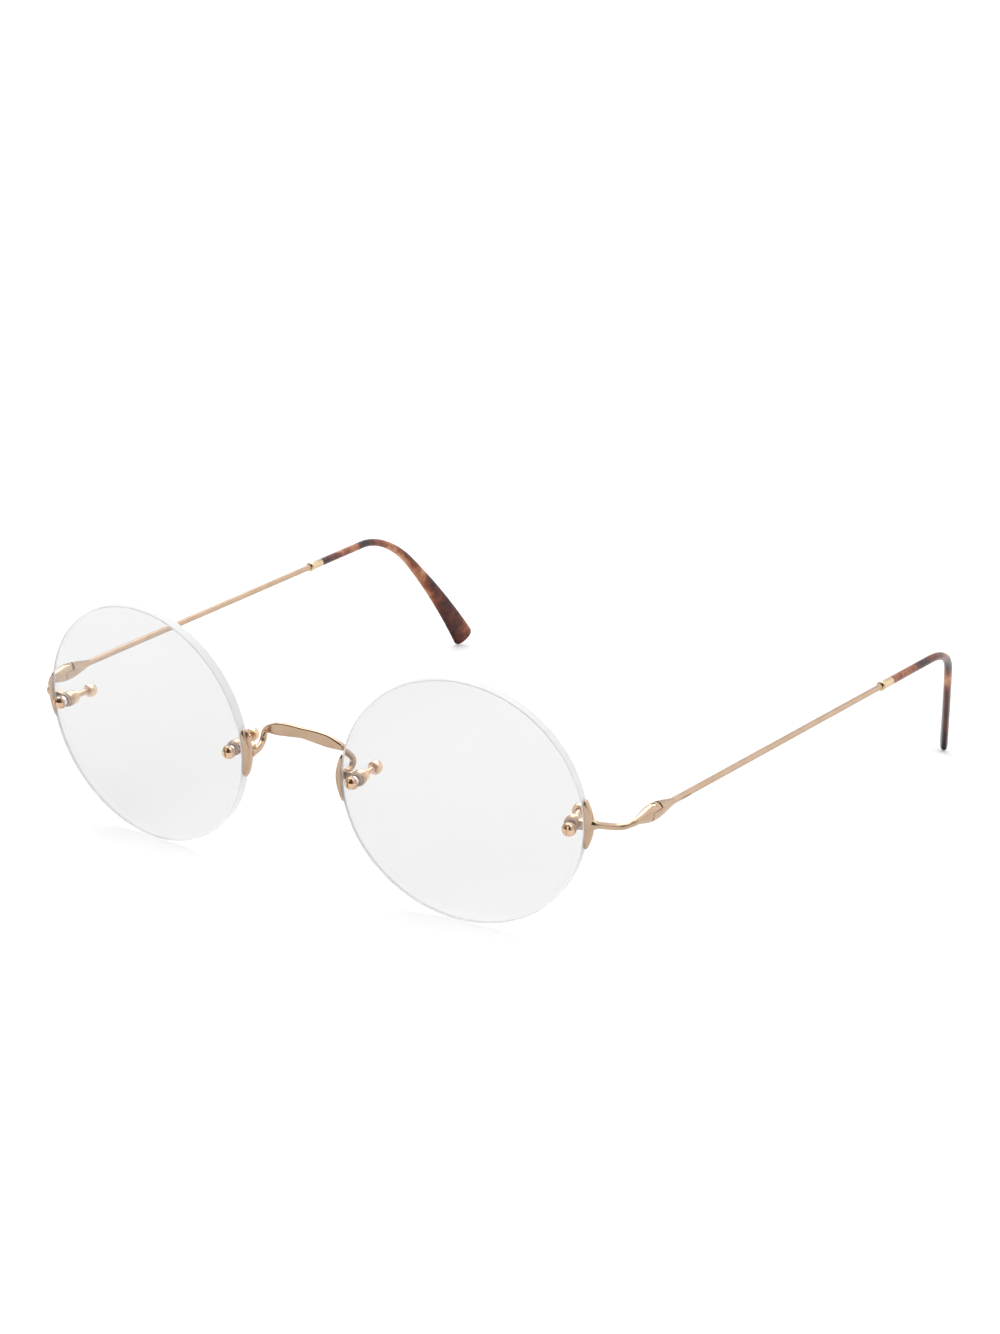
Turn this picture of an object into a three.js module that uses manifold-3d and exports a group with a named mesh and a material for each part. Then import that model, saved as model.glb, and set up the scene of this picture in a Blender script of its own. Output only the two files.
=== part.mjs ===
// Round rimless eyeglasses, standing open on a table, in millimetres.
// +Z is up, the wearer looks along -Y, and +X is the wearer's left.
// The origin is on the table, at the middle of the glasses seen from above.
import * as THREE from "three";
import { mergeVertices } from "three/addons/utils/BufferGeometryUtils.js";
import Module from "manifold-3d";

const wasm = await Module();
wasm.setup();

const { degToRad } = THREE.MathUtils;

// Lenses
const LENS_RADIUS = 22;
const LENS_THICKNESS = 2;
const LENS_FRONT_CURVE = 132;
const LENS_SPACING = 63.8;
const LENS_TILT = degToRad(10.4);
const LENS_WRAP = degToRad(5.3);
const EDGE_CHAMFER = 0.15;

// Lens mounts: a screw through the lens near its edge, with everything it holds
const HOLE_OFFSET = 19.6;
const SCREW_RADIUS = 0.5;
const SCREW_END = -8;
const HEAD_RADIUS = 1.2;
const HEAD_HEIGHT = 1;
const SLOT_WIDTH = 0.34;
const SLOT_DEPTH = 0.4;
const BORE_RADIUS = 0.56;
const SLEEVE_RADIUS = 0.78;
const LENS_HOLE_RADIUS = 0.84;
const WASHER_RADIUS = 1.25;
const WASHER_THICKNESS = 0.3;
const JOINT_GAP = 0.04;
const LUG_THICKNESS = 0.8;
const LUG_RADIUS = 1.35;
const LUG_NECK_WIDTH = 1.6;
const LUG_REACH = 1;
const LUG_CORNER_WIDTH = 0.6;
const LUG_CORNER_HEIGHT = 1.8;
const NUT_RADIUS = 1.2;
const NUT_THICKNESS = 1.1;
const NUT_COLLAR_RADIUS = 0.85;
const NUT_COLLAR_THICKNESS = 0.35;
const CAP_RADIUS = 1.2;
const CAP_FRONT = -6.85;
const CAP_BACK = -8.75;

// Edge plates, which hug the edge of the lens
const PLATE_LENGTH = 8.9;
const PLATE_WIDTH = 1.9;
const PLATE_THICKNESS = 1.05;
const PLATE_END_THICKNESS = 0.5;
const PLATE_RAISE = { temporal: 0.6, nasal: -0.2 };

// Bridge: a flat crest band that runs on into two round wire arms
const WIRE_RADIUS = 0.58;
const BAND_HALF_WIDTH = 1.14;
const BAND_WAIST = 0.2;
const BAND_WAIST_REACH = 2.2;
const BAND_HALF_THICKNESS = 0.42;
const BAND_HALF_SPAN = 7.6;
const ARM_FLARE = 0.35;
const ARM_FLARE_LENGTH = 1.6;
const STEM_FLARE_LENGTH = 2.2;
const STEM_NOSE_LENGTH = 2.5;
const STEM_NOSE_GROWTH = 0.12;

// Hinge and temple
const PIN_PLACE = new THREE.Vector3(59.8, 14.4, 22.94);
const TEMPLE_SPLAY = degToRad(3.3);
const TEMPLE_RISE = degToRad(2.7);
const FOLD_DROP = degToRad(2);
const SPINDLE_FRONT = -5.6;
const SPINDLE_BACK = 6.9;
const SPINDLE_PEAK = 0.2;
const SPINDLE_HALF_HEIGHT = 1.55;
const SPINDLE_HALF_WIDTH = 1.2;
const LEAF_RADIUS = 1.18;
const SLIT_BEHIND_PIN = 1.35;
const SLIT_SLANT = degToRad(15);
const SLIT_GAP = 0.42;
const NOTCH_AHEAD_OF_PIN = 1.45;
const LEAF_SPLIT = 0.5;
const LEAF_GAP = 0.05;
const PIN_RADIUS = 0.45;
const PIN_HEAD_RADIUS = 0.68;
const PIN_HEAD_DEPTH = 0.5;
const PIN_HEAD_SUNK = 0.12;
const PIN_HEAD_CHAMFER = 0.1;
const PIN_SLOT_WIDTH = 0.22;
const PIN_SLOT_DEPTH = 0.25;
const FERRULE_FRONT = 87.2;
const FERRULE_BACK = 91.9;
const FERRULE_RADIUS = 0.84;
const FERRULE_BEAD = 0.1;
const CORE_CLEARANCE = 0.06;
const CORE_RADIUS = 0.42;
const CORE_END = 106;

// Temple tips
const TIP_STRAIGHT = 17.9;
const BEND_RADIUS = 25.7;
const BEND_ANGLE = degToRad(44.5);
const BEND_INWARD = degToRad(20);
const DROP_LENGTH = 28.1;
const DROP_CURL = degToRad(10);
const TIP_RADIUS = 0.8;
const PADDLE_HALF_WIDTH = 2.65;
const PADDLE_HALF_THICKNESS = 0.85;
const PADDLE_CORNER = 1.3;

// Distance of the middle of the glasses behind the lens centres
const MIDDLE = 78.8;

const MATERIALS = {
  satinGold: metal(0xcbae9a, 0.34),
  polishedGold: metal(0xd9a679, 0.14),
  paleGold: metal(0xd8bf9c, 0.2),
  lens: clear(0xf2f4f4, 0.02, 0.25),
  plastic: clear(0xf4eee8, 0.15, 0.5),
  tortoise: new THREE.MeshStandardMaterial({ color: 0x6b3a24, roughness: 0.18, metalness: 0 }),
};

function metal(color, roughness) {
  return new THREE.MeshStandardMaterial({ color, roughness, metalness: 1 });
}

function clear(color, roughness, opacity) {
  return new THREE.MeshStandardMaterial({
    color,
    roughness,
    metalness: 0,
    transparent: true,
    opacity,
  });
}

// Booleans

function solid(geometry, matrix = new THREE.Matrix4()) {
  const bare = geometry.clone().applyMatrix4(matrix);
  bare.deleteAttribute("normal");
  bare.deleteAttribute("uv");
  const merged = mergeVertices(bare, 1e-4);
  const index = merged.index.array;
  const kept = [];
  for (let i = 0; i < index.length; i += 3) {
    const [a, b, c] = index.slice(i, i + 3);
    if (a !== b && b !== c && c !== a) kept.push(a, b, c);
  }
  return new wasm.Manifold(
    new wasm.Mesh({
      numProp: 3,
      vertProperties: merged.attributes.position.array,
      triVerts: new Uint32Array(kept),
    }),
  );
}

function geometryOf(made) {
  const { vertProperties, triVerts } = made.getMesh();
  const geometry = new THREE.BufferGeometry();
  geometry.setAttribute("position", new THREE.BufferAttribute(vertProperties, 3));
  geometry.setIndex(new THREE.BufferAttribute(triVerts, 1));
  geometry.computeVertexNormals();
  return geometry;
}

function named(name, geometry, material) {
  const mesh = new THREE.Mesh(geometry, material);
  mesh.name = name;
  return mesh;
}

// Shapes

// A solid of revolution about Z, from [radius, height] pairs listed upwards along the outside.
function turned(profile, segments = 16) {
  const points = profile.map(([radius, height]) => new THREE.Vector2(radius, height));
  return new THREE.LatheGeometry(points, segments).rotateX(Math.PI / 2);
}

function ring(inner, outer, bottom, top, segments = 16) {
  const corners = [
    [inner, bottom],
    [outer, bottom],
    [outer, top],
    [inner, top],
    [inner, bottom],
  ];
  return turned(corners, segments);
}

function rod(radius, bottom, top, segments = 16) {
  return turned([[0, bottom], [radius, bottom], [radius, top], [0, top]], segments);
}

// A block between two opposite corners.
function block(low, high) {
  const size = high.map((value, i) => value - low[i]);
  const middle = high.map((value, i) => (value + low[i]) / 2);
  return new THREE.BoxGeometry(...size).translate(...middle);
}

// The points of an arc, as [radius, height] pairs, about a centre on the axis.
function arc(radius, centre, from, to, steps) {
  return Array.from({ length: steps + 1 }, (_, i) => {
    const angle = THREE.MathUtils.lerp(from, to, i / steps);
    return [radius * Math.sin(angle), centre + radius * Math.cos(angle)];
  });
}

// A bar with an oval section that changes along a path. section(t) gives its two half sizes,
// the first along side(t) and the second across it, and spread(t) places its rings on the path.
function swept(path, steps, around, section, side, spread = (t) => t) {
  const bar = new THREE.CylinderGeometry(1, 1, 1, around, steps);
  const place = bar.attributes.position;
  const point = new THREE.Vector3();
  for (let i = 0; i < place.count; i++) {
    const t = spread(THREE.MathUtils.clamp(place.getY(i) + 0.5, 0, 1));
    const along = path.getTangentAt(t);
    const wide = side(t).clone().projectOnPlane(along).normalize();
    const deep = new THREE.Vector3().crossVectors(wide, along);
    const [halfWide, halfDeep] = section(t);
    point.copy(path.getPointAt(t));
    point.addScaledVector(wide, place.getX(i) * halfWide);
    point.addScaledVector(deep, place.getZ(i) * halfDeep);
    place.setXYZ(i, point.x, point.y, point.z);
  }
  return bar;
}

// Rings set closer together towards both ends of a path.
const towardsEnds = (t) => 0.5 - 0.5 * Math.cos(Math.PI * t);

const smooth = THREE.MathUtils.smoothstep;

// Frames of reference

// The lens frame: X outwards, Y up the lens and Z out of its front, at the middle of its front edge.
function lensMatrix() {
  const ahead = new THREE.Vector3(Math.sin(LENS_WRAP), -Math.cos(LENS_WRAP), 0);
  const out = new THREE.Vector3(Math.cos(LENS_WRAP), Math.sin(LENS_WRAP), 0);
  const up = new THREE.Vector3(0, 0, Math.cos(LENS_TILT)).addScaledVector(ahead, Math.sin(LENS_TILT));
  const front = new THREE.Vector3().crossVectors(out, up);
  const height = LENS_RADIUS * Math.cos(LENS_TILT) - EDGE_CHAMFER * Math.sin(LENS_TILT);
  const place = new THREE.Vector3(LENS_SPACING / 2, 0, height);
  return new THREE.Matrix4().makeBasis(out, up, front).setPosition(place);
}

const sagAt = (radius, curve) => curve - Math.sqrt(curve ** 2 - radius ** 2);
const LENS_SAG = sagAt(LENS_RADIUS, LENS_FRONT_CURVE);
const LENS_BACK_CURVE = LENS_FRONT_CURVE - LENS_THICKNESS;

// The mount frame, in the lens frame: Z out along the screw, at the lens's front surface.
function mountMatrix(turn) {
  const lean = Math.asin(HOLE_OFFSET / LENS_FRONT_CURVE);
  const height = LENS_SAG - sagAt(HOLE_OFFSET, LENS_FRONT_CURVE);
  return new THREE.Matrix4()
    .makeRotationZ(turn)
    .multiply(new THREE.Matrix4().makeTranslation(HOLE_OFFSET, 0, height))
    .multiply(new THREE.Matrix4().makeRotationY(lean));
}

const MOUNT_TURN = { temporal: 0, nasal: Math.PI };
const PLACES = Object.keys(MOUNT_TURN);

// The hinge frame: X outwards, Y back along the open temple and Z up the hinge screw.
function hingeMatrix() {
  const turn = new THREE.Euler(TEMPLE_RISE + FOLD_DROP, 0, -TEMPLE_SPLAY, "ZXY");
  return new THREE.Matrix4().makeRotationFromEuler(turn).setPosition(PIN_PLACE);
}

// The temple frame, in the hinge frame: Y exactly along the temple.
const templeMatrix = () => new THREE.Matrix4().makeRotationX(-FOLD_DROP);

const LENS = lensMatrix();
const HINGE = hingeMatrix();

// Farther than any part of a mount or hinge reaches, for blocks that cut right through one
const FAR = 12;

// Heights of the clamped stack, along the screw from the lens's front surface
const FRONT_WASHER = [JOINT_GAP, JOINT_GAP + WASHER_THICKNESS];
const HEAD_SEAT = FRONT_WASHER[1] + JOINT_GAP;
const BACK_WASHER_TOP = -LENS_THICKNESS - JOINT_GAP;
const LUG_TOP = BACK_WASHER_TOP - WASHER_THICKNESS - JOINT_GAP;
const LUG_BOTTOM = LUG_TOP - LUG_THICKNESS;
const NUT_TOP = LUG_BOTTOM - JOINT_GAP;
const NUT_BOTTOM = NUT_TOP - NUT_THICKNESS;

// Lens and the small parts of its two mounts

function lens() {
  const frontCentre = LENS_SAG - LENS_FRONT_CURVE;
  const reach = (curve) => Math.asin((LENS_RADIUS - EDGE_CHAMFER) / curve);
  const rim = [
    [LENS_RADIUS, -LENS_THICKNESS + EDGE_CHAMFER],
    [LENS_RADIUS, -EDGE_CHAMFER],
  ];
  const back = arc(LENS_BACK_CURVE, frontCentre, 0, reach(LENS_BACK_CURVE), 4);
  const front = arc(LENS_FRONT_CURVE, frontCentre, reach(LENS_FRONT_CURVE), 0, 3);
  let made = solid(turned([...back, ...rim, ...front], 60));
  for (const place of PLACES) {
    const hole = rod(LENS_HOLE_RADIUS, -LENS_THICKNESS - 1, 1);
    made = made.subtract(solid(hole, mountMatrix(MOUNT_TURN[place])));
  }
  return geometryOf(made);
}

function lensScrew() {
  const centre = HEAD_SEAT + HEAD_HEIGHT - HEAD_RADIUS;
  const dome = arc(HEAD_RADIUS, centre, Math.acos((HEAD_SEAT - centre) / HEAD_RADIUS), 0, 4);
  const shank = [[0, SCREW_END], [SCREW_RADIUS - 0.15, SCREW_END], [SCREW_RADIUS, SCREW_END + 0.15]];
  const body = turned([...shank, [SCREW_RADIUS, HEAD_SEAT], ...dome], 16);
  const slotFloor = HEAD_SEAT + HEAD_HEIGHT - SLOT_DEPTH;
  const slot = block([-SLOT_WIDTH / 2, -FAR, slotFloor], [SLOT_WIDTH / 2, FAR, FAR]);
  return geometryOf(solid(body).subtract(solid(slot)));
}

const frontWasher = () => ring(BORE_RADIUS, WASHER_RADIUS, ...FRONT_WASHER);

const sleeve = () => ring(BORE_RADIUS, SLEEVE_RADIUS, -LENS_THICKNESS + JOINT_GAP, -JOINT_GAP);

const backWasher = () =>
  ring(BORE_RADIUS, WASHER_RADIUS, BACK_WASHER_TOP - WASHER_THICKNESS, BACK_WASHER_TOP);

function hexNut() {
  const hexagon = solid(rod(NUT_RADIUS, NUT_BOTTOM, NUT_TOP, 6));
  const collar = solid(rod(NUT_COLLAR_RADIUS, NUT_BOTTOM - NUT_COLLAR_THICKNESS, NUT_BOTTOM + 0.2));
  const bore = solid(rod(BORE_RADIUS, NUT_BOTTOM - 1, NUT_TOP + 1));
  return geometryOf(hexagon.add(collar).subtract(bore));
}

function capNut() {
  const centre = CAP_BACK + CAP_RADIUS;
  const ball = arc(CAP_RADIUS, centre, Math.PI, Math.PI / 2, 4);
  const mouth = [[CAP_RADIUS, CAP_FRONT - 0.25], [CAP_RADIUS - 0.25, CAP_FRONT]];
  const bore = [[BORE_RADIUS, CAP_FRONT], [BORE_RADIUS, SCREW_END - 0.1], [0, SCREW_END - 0.1]];
  return turned([...ball, ...mouth, ...bore], 16);
}

// Bridge and end pieces

// The lens's outer cylinder with a small gap round it, in the lens frame.
const lensEdgeSpace = () => rod(LENS_RADIUS + JOINT_GAP, -LENS_THICKNESS - 0.1, 1, 72);

// An edge plate with the lug that reaches behind the lens to its screw.
function plateWithLug(place) {
  const turn = MOUNT_TURN[place];
  const middle = LENS_RADIUS + JOINT_GAP + PLATE_END_THICKNESS / 2;
  const halfAngle = PLATE_LENGTH / 2 / LENS_RADIUS;
  const raise = (Math.cos(turn) * PLATE_RAISE[place]) / LENS_RADIUS;
  const edge = new THREE.EllipseCurve(0, 0, middle, middle, raise - halfAngle, raise + halfAngle);
  const path = new THREE.CatmullRomCurve3(
    edge.getPoints(8).map(({ x, y }) => new THREE.Vector3(x, y, -LENS_THICKNESS / 2)),
  );
  const section = (t) => {
    const rounding = Math.sqrt(Math.max(0.003, 1 - (2 * t - 1) ** 6));
    const bulge = Math.sin(Math.PI * t) ** 2;
    const thick = THREE.MathUtils.lerp(PLATE_END_THICKNESS, PLATE_THICKNESS, bulge);
    return [thick * rounding, (PLATE_WIDTH / 2) * rounding];
  };
  const outwards = () => new THREE.Vector3(1, 0, 0);
  const plate = swept(path, 12, 12, section, outwards, towardsEnds);
  const hug = solid(plate)
    .subtract(solid(lensEdgeSpace()))
    .transform(new THREE.Matrix4().makeRotationZ(turn).elements);

  const neckEnd = LENS_RADIUS - HOLE_OFFSET + LUG_REACH;
  const halfWidth = LUG_NECK_WIDTH / 2;
  const neck = block([0, -halfWidth, LUG_BOTTOM], [neckEnd, halfWidth, LUG_TOP]);
  const corner = block(
    [neckEnd - LUG_CORNER_WIDTH, -halfWidth, LUG_BOTTOM],
    [neckEnd, halfWidth, LUG_BOTTOM + LUG_CORNER_HEIGHT],
  );
  const bore = rod(BORE_RADIUS + JOINT_GAP, LUG_BOTTOM - LUG_REACH, LUG_TOP + LUG_CORNER_WIDTH);
  const lug = solid(rod(LUG_RADIUS, LUG_BOTTOM, LUG_TOP))
    .add(solid(neck))
    .add(solid(corner))
    .subtract(solid(bore))
    .transform(mountMatrix(turn).elements);
  return hug.add(lug).transform(LENS.elements);
}

// Half of the bridge: from the middle of the band, out along it and down its arm to the plate.
function halfBridge() {
  const path = new THREE.CatmullRomCurve3(
    [
      [-0.4, 1.15, 26.75],
      [0.4, 1.15, 26.75],
      [4, 1.25, 26.5],
      [7.2, 1.7, 25.85],
      [8.7, 2.9, 25],
      [9.35, 3.6, 23.9],
      [9.4, 3.3, 22.8],
      [9.2, 2.1, 22.05],
      [9.05, 0.8, 21.75],
      [9.3, -0.5, 21.6],
    ].map((place) => new THREE.Vector3(...place)),
    false,
    "centripetal",
  );
  const length = path.getLength();
  const section = (t) => {
    const run = t * length;
    const flat = 1 - smooth(run, BAND_HALF_SPAN - 2.6, BAND_HALF_SPAN + 1.4);
    const waist = BAND_WAIST * Math.exp(-((run / BAND_WAIST_REACH) ** 2));
    const flare = ARM_FLARE * smooth(run, length - ARM_FLARE_LENGTH, length);
    const wide = THREE.MathUtils.lerp(WIRE_RADIUS, BAND_HALF_WIDTH - waist, flat);
    const thick = THREE.MathUtils.lerp(WIRE_RADIUS, BAND_HALF_THICKNESS, flat);
    return [wide + flare, thick + flare];
  };
  const up = new THREE.Vector3(0, -0.12, 1);
  const across = new THREE.Vector3(0.9, -0.3, 0.3);
  const side = (t) => up.clone().lerp(across, smooth(t * length, 7, 11));
  return solid(swept(path, 32, 12, section, side)).subtract(solid(lensEdgeSpace(), LENS));
}

function bridge() {
  const half = halfBridge().add(plateWithLug("nasal"));
  return geometryOf(half.add(half.mirror([1, 0, 0])));
}

// Height of the shoulder under the hinge screw's head, in the hinge frame
const PIN_HEAD_SEAT = SPINDLE_HALF_HEIGHT - PIN_HEAD_SUNK - PIN_HEAD_DEPTH;

// The spindle-shaped hinge body, along Y in the temple frame, with the hinge screw at the origin.
function spindle() {
  const steps = 20;
  const profile = Array.from({ length: steps + 1 }, (_, i) => {
    const along = THREE.MathUtils.lerp(SPINDLE_FRONT, SPINDLE_BACK, i / steps);
    const end = along < SPINDLE_PEAK ? SPINDLE_FRONT : SPINDLE_BACK;
    const share = (along - SPINDLE_PEAK) / (end - SPINDLE_PEAK);
    const swell = Math.cos((Math.PI / 2) * share) ** 1.35;
    return new THREE.Vector2(WIRE_RADIUS + (SPINDLE_HALF_HEIGHT - WIRE_RADIUS) * swell, along);
  });
  const tail = [new THREE.Vector2(WIRE_RADIUS, SPINDLE_BACK), new THREE.Vector2(0, SPINDLE_BACK)];
  const nose = new THREE.Vector2(0, SPINDLE_FRONT);
  const body = new THREE.LatheGeometry([nose, ...profile.slice(0, -1), ...tail], 20);
  return body.scale(SPINDLE_HALF_WIDTH / SPINDLE_HALF_HEIGHT, 1, 1);
}

// The space of the upper hinge leaf, in the hinge frame: square outside and round inside.
function upperLeafSpace(grow) {
  const back = SLIT_BEHIND_PIN - SLIT_GAP / 2 + grow;
  const outer = block([0, -FAR, 0], [FAR, back, FAR]);
  const slope = new THREE.Matrix4()
    .makeTranslation(0, back, SPINDLE_HALF_HEIGHT)
    .multiply(new THREE.Matrix4().makeRotationX(SLIT_SLANT));
  const slanted = solid(block([0, -FAR, -FAR], [FAR, 0, 0]), slope);
  const inner = solid(rod(LEAF_RADIUS + grow, 0, FAR, 32));
  const ahead = solid(block([-FAR, -FAR, 0], [FAR, 0, FAR]));
  return solid(outer).add(slanted).add(inner).add(ahead);
}

// The wire stem from the edge plate to the front of the hinge.
function stem() {
  const path = new THREE.CatmullRomCurve3(
    [
      [54.2, 2.9, 22.5],
      [55.35, 3.2, 22.6],
      [56.62, 5.1, 22.2],
      [57.65, 6.5, 21.98],
      [58.55, 7.4, 22.1],
      [59.05, 8.25, 22.37],
      [59.42, 9.2, 22.65],
      [59.56, 10.2, 22.74],
    ].map((place) => new THREE.Vector3(...place)),
    false,
    "centripetal",
  );
  const length = path.getLength();
  const section = (t) => {
    const flare = 1 - smooth(t * length, 0, STEM_FLARE_LENGTH);
    const nose = STEM_NOSE_GROWTH * smooth(t * length, length - STEM_NOSE_LENGTH, length);
    return [WIRE_RADIUS + nose + 0.75 * flare ** 2, WIRE_RADIUS + nose + 0.25 * flare];
  };
  const up = () => new THREE.Vector3(0, 0, 1);
  return solid(swept(path, 22, 12, section, up)).subtract(solid(lensEdgeSpace(), LENS));
}

function endPiece() {
  return geometryOf(plateWithLug("temporal").add(stem()).add(frontHinge()));
}

// What the front keeps of the spindle: all of it ahead of the hinge, and the upper leaf.
function frontHinge() {
  const whole = solid(spindle(), templeMatrix());
  const ahead = solid(block([-FAR, -FAR, -FAR], [FAR, -NOTCH_AHEAD_OF_PIN, FAR]));
  const above = solid(block([-FAR, -FAR, LEAF_SPLIT + LEAF_GAP / 2], [FAR, FAR, FAR]));
  const leaf = whole.intersect(above).intersect(upperLeafSpace(0));
  const screwHole = solid(rod(PIN_RADIUS + JOINT_GAP, 0, FAR));
  const sink = solid(rod(PIN_HEAD_RADIUS + JOINT_GAP, PIN_HEAD_SEAT, FAR));
  return whole
    .intersect(ahead)
    .add(leaf)
    .subtract(screwHole)
    .subtract(sink)
    .transform(HINGE.elements);
}

// What the temple keeps of it: all of it behind the slit, and the lower leaf.
function backHinge() {
  const whole = solid(spindle(), templeMatrix());
  const leafTop = LEAF_SPLIT - LEAF_GAP / 2;
  const lower = solid(block([-FAR, 0, -FAR], [FAR, FAR, leafTop]));
  const round = solid(rod(LEAF_RADIUS, -FAR, leafTop, 32));
  const outerFront = solid(block([0, -LEAF_RADIUS, -FAR], [FAR, LEAF_RADIUS, leafTop]));
  const behind = solid(block([-FAR, 0, leafTop - LEAF_GAP / 2], [FAR, FAR, FAR]));
  const rear = whole.intersect(behind.subtract(upperLeafSpace(SLIT_GAP)));
  const leaf = whole.intersect(lower.add(round).add(outerFront));
  const bearing = solid(rod(PIN_RADIUS + LEAF_GAP, -FAR, FAR));
  return rear.add(leaf).subtract(bearing);
}

function hingeScrew() {
  const foot = -SPINDLE_HALF_HEIGHT + PIN_HEAD_SUNK;
  const seat = PIN_HEAD_SEAT + JOINT_GAP;
  const top = seat + PIN_HEAD_DEPTH;
  const head = [
    [PIN_RADIUS, seat],
    [PIN_HEAD_RADIUS, seat],
    [PIN_HEAD_RADIUS, top - PIN_HEAD_CHAMFER],
    [PIN_HEAD_RADIUS - PIN_HEAD_CHAMFER, top],
    [0, top],
  ];
  const body = turned([[0, foot], [PIN_RADIUS, foot], ...head], 24);
  const slot = block([-PIN_SLOT_WIDTH / 2, -FAR, top - PIN_SLOT_DEPTH], [PIN_SLOT_WIDTH / 2, FAR, FAR]);
  return geometryOf(solid(body).subtract(solid(slot)));
}

// Temple, ferrule and tip

const wireAlong = (radius, from, to) => rod(radius, from, to, 16).rotateX(-Math.PI / 2);

function temple() {
  const hinge = backHinge();
  const wire = solid(wireAlong(WIRE_RADIUS, SPINDLE_BACK - 0.5, FERRULE_FRONT - JOINT_GAP), templeMatrix());
  const core = solid(wireAlong(CORE_RADIUS, FERRULE_FRONT - 1, CORE_END), templeMatrix());
  return geometryOf(hinge.add(wire).add(core));
}

function ferrule() {
  const inner = CORE_RADIUS + CORE_CLEARANCE;
  const profile = [
    [inner, FERRULE_FRONT],
    [FERRULE_RADIUS - FERRULE_BEAD, FERRULE_FRONT],
    [FERRULE_RADIUS + FERRULE_BEAD, FERRULE_FRONT + 0.25],
    [FERRULE_RADIUS, FERRULE_FRONT + 0.7],
    [FERRULE_RADIUS, FERRULE_BACK],
    [inner, FERRULE_BACK],
    [inner, FERRULE_FRONT],
  ];
  return turned(profile, 20).rotateX(-Math.PI / 2).applyMatrix4(templeMatrix());
}

// The middle line of the tip in the temple frame: straight, then a bend down and in, then a curl.
class TipPath extends THREE.Curve {
  constructor() {
    super();
    this.bendLength = BEND_RADIUS * BEND_ANGLE;
    this.total = TIP_STRAIGHT + this.bendLength + DROP_LENGTH;
    this.steps = 200;
    this.points = [new THREE.Vector3(0, FERRULE_BACK + JOINT_GAP, 0)];
    for (let i = 0; i < this.steps; i++) {
      const heading = this.heading(((i + 0.5) / this.steps) * this.total);
      const next = this.points[i].clone().addScaledVector(heading, this.total / this.steps);
      this.points.push(next);
    }
  }

  heading(run) {
    const bend = THREE.MathUtils.clamp((run - TIP_STRAIGHT) / this.bendLength, 0, 1);
    const drop = Math.max(0, (run - TIP_STRAIGHT - this.bendLength) / DROP_LENGTH);
    const down = -BEND_ANGLE * bend - DROP_CURL * drop;
    const inward = -BEND_INWARD * bend;
    return new THREE.Vector3(
      Math.sin(inward) * Math.cos(down),
      Math.cos(inward) * Math.cos(down),
      Math.sin(down),
    );
  }

  getPoint(t, target = new THREE.Vector3()) {
    const place = t * this.steps;
    const before = Math.min(Math.floor(place), this.steps - 1);
    return target.lerpVectors(this.points[before], this.points[before + 1], place - before);
  }

  getPointAt(t, target) {
    return this.getPoint(t, target);
  }

  getTangentAt(t) {
    return this.heading(t * this.total);
  }
}

function templeTip() {
  const path = new TipPath();
  const section = (t) => {
    const spreading = Math.max(0, (t - 0.42) / 0.58) ** 1.35;
    const left = Math.min(1, ((1 - t) * path.total) / PADDLE_CORNER);
    const corner = PADDLE_CORNER * (1 - Math.sqrt(Math.max(0, 1 - (1 - left) ** 2)));
    const wide = THREE.MathUtils.lerp(TIP_RADIUS, PADDLE_HALF_WIDTH, spreading);
    const thick = THREE.MathUtils.lerp(TIP_RADIUS, PADDLE_HALF_THICKNESS, spreading);
    return [thick * (1 - 0.3 * (corner / PADDLE_CORNER) ** 2), wide - corner];
  };
  const straightOut = new THREE.Vector3(1, 0, 0);
  const outAndBack = new THREE.Vector3(0.88, 0.47, 0);
  const side = (t) => straightOut.clone().lerp(outAndBack, smooth(t, 0.4, 0.8));
  const nearEnd = (t) => 1 - (1 - t) ** 1.7;
  const body = solid(swept(path, 30, 14, section, side, nearEnd));
  const bore = solid(wireAlong(CORE_RADIUS + CORE_CLEARANCE, FERRULE_BACK - 1, CORE_END + CORE_CLEARANCE));
  return geometryOf(body.subtract(bore).transform(templeMatrix().elements));
}

// Assembly

function lensMount(side, place) {
  const mount = new THREE.Group();
  mountMatrix(MOUNT_TURN[place]).decompose(mount.position, mount.quaternion, mount.scale);
  const label = `${place}_${side}`;
  mount.add(
    named(`lens_screw_${label}`, lensScrew(), MATERIALS.polishedGold),
    named(`front_washer_${label}`, frontWasher(), MATERIALS.plastic),
    named(`sleeve_${label}`, sleeve(), MATERIALS.plastic),
    named(`back_washer_${label}`, backWasher(), MATERIALS.plastic),
    named(`hex_nut_${label}`, hexNut(), MATERIALS.polishedGold),
    named(`cap_nut_${label}`, capNut(), MATERIALS.polishedGold),
  );
  return mount;
}

function mountedLens(side) {
  const group = new THREE.Group();
  LENS.decompose(group.position, group.quaternion, group.scale);
  group.add(named(`lens_${side}`, lens(), MATERIALS.lens));
  for (const place of PLACES) group.add(lensMount(side, place));
  return group;
}

function hingedTemple(side) {
  const group = new THREE.Group();
  HINGE.decompose(group.position, group.quaternion, group.scale);
  group.add(
    named(`hinge_screw_${side}`, hingeScrew(), MATERIALS.polishedGold),
    named(`temple_${side}`, temple(), MATERIALS.satinGold),
    named(`ferrule_${side}`, ferrule(), MATERIALS.paleGold),
    named(`temple_tip_${side}`, templeTip(), MATERIALS.tortoise),
  );
  return group;
}

// One side of the glasses. The right side is the left one mirrored.
function sideOfGlasses(side, mirror) {
  const group = new THREE.Group();
  group.scale.x = mirror;
  group.add(
    mountedLens(side),
    named(`end_piece_${side}`, endPiece(), MATERIALS.satinGold),
    hingedTemple(side),
  );
  return group;
}

const eyeglasses = new THREE.Group();
eyeglasses.position.y = -MIDDLE;
eyeglasses.add(
  named("bridge", bridge(), MATERIALS.satinGold),
  sideOfGlasses("left", 1),
  sideOfGlasses("right", -1),
);

export default eyeglasses;
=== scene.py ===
import math

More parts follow.
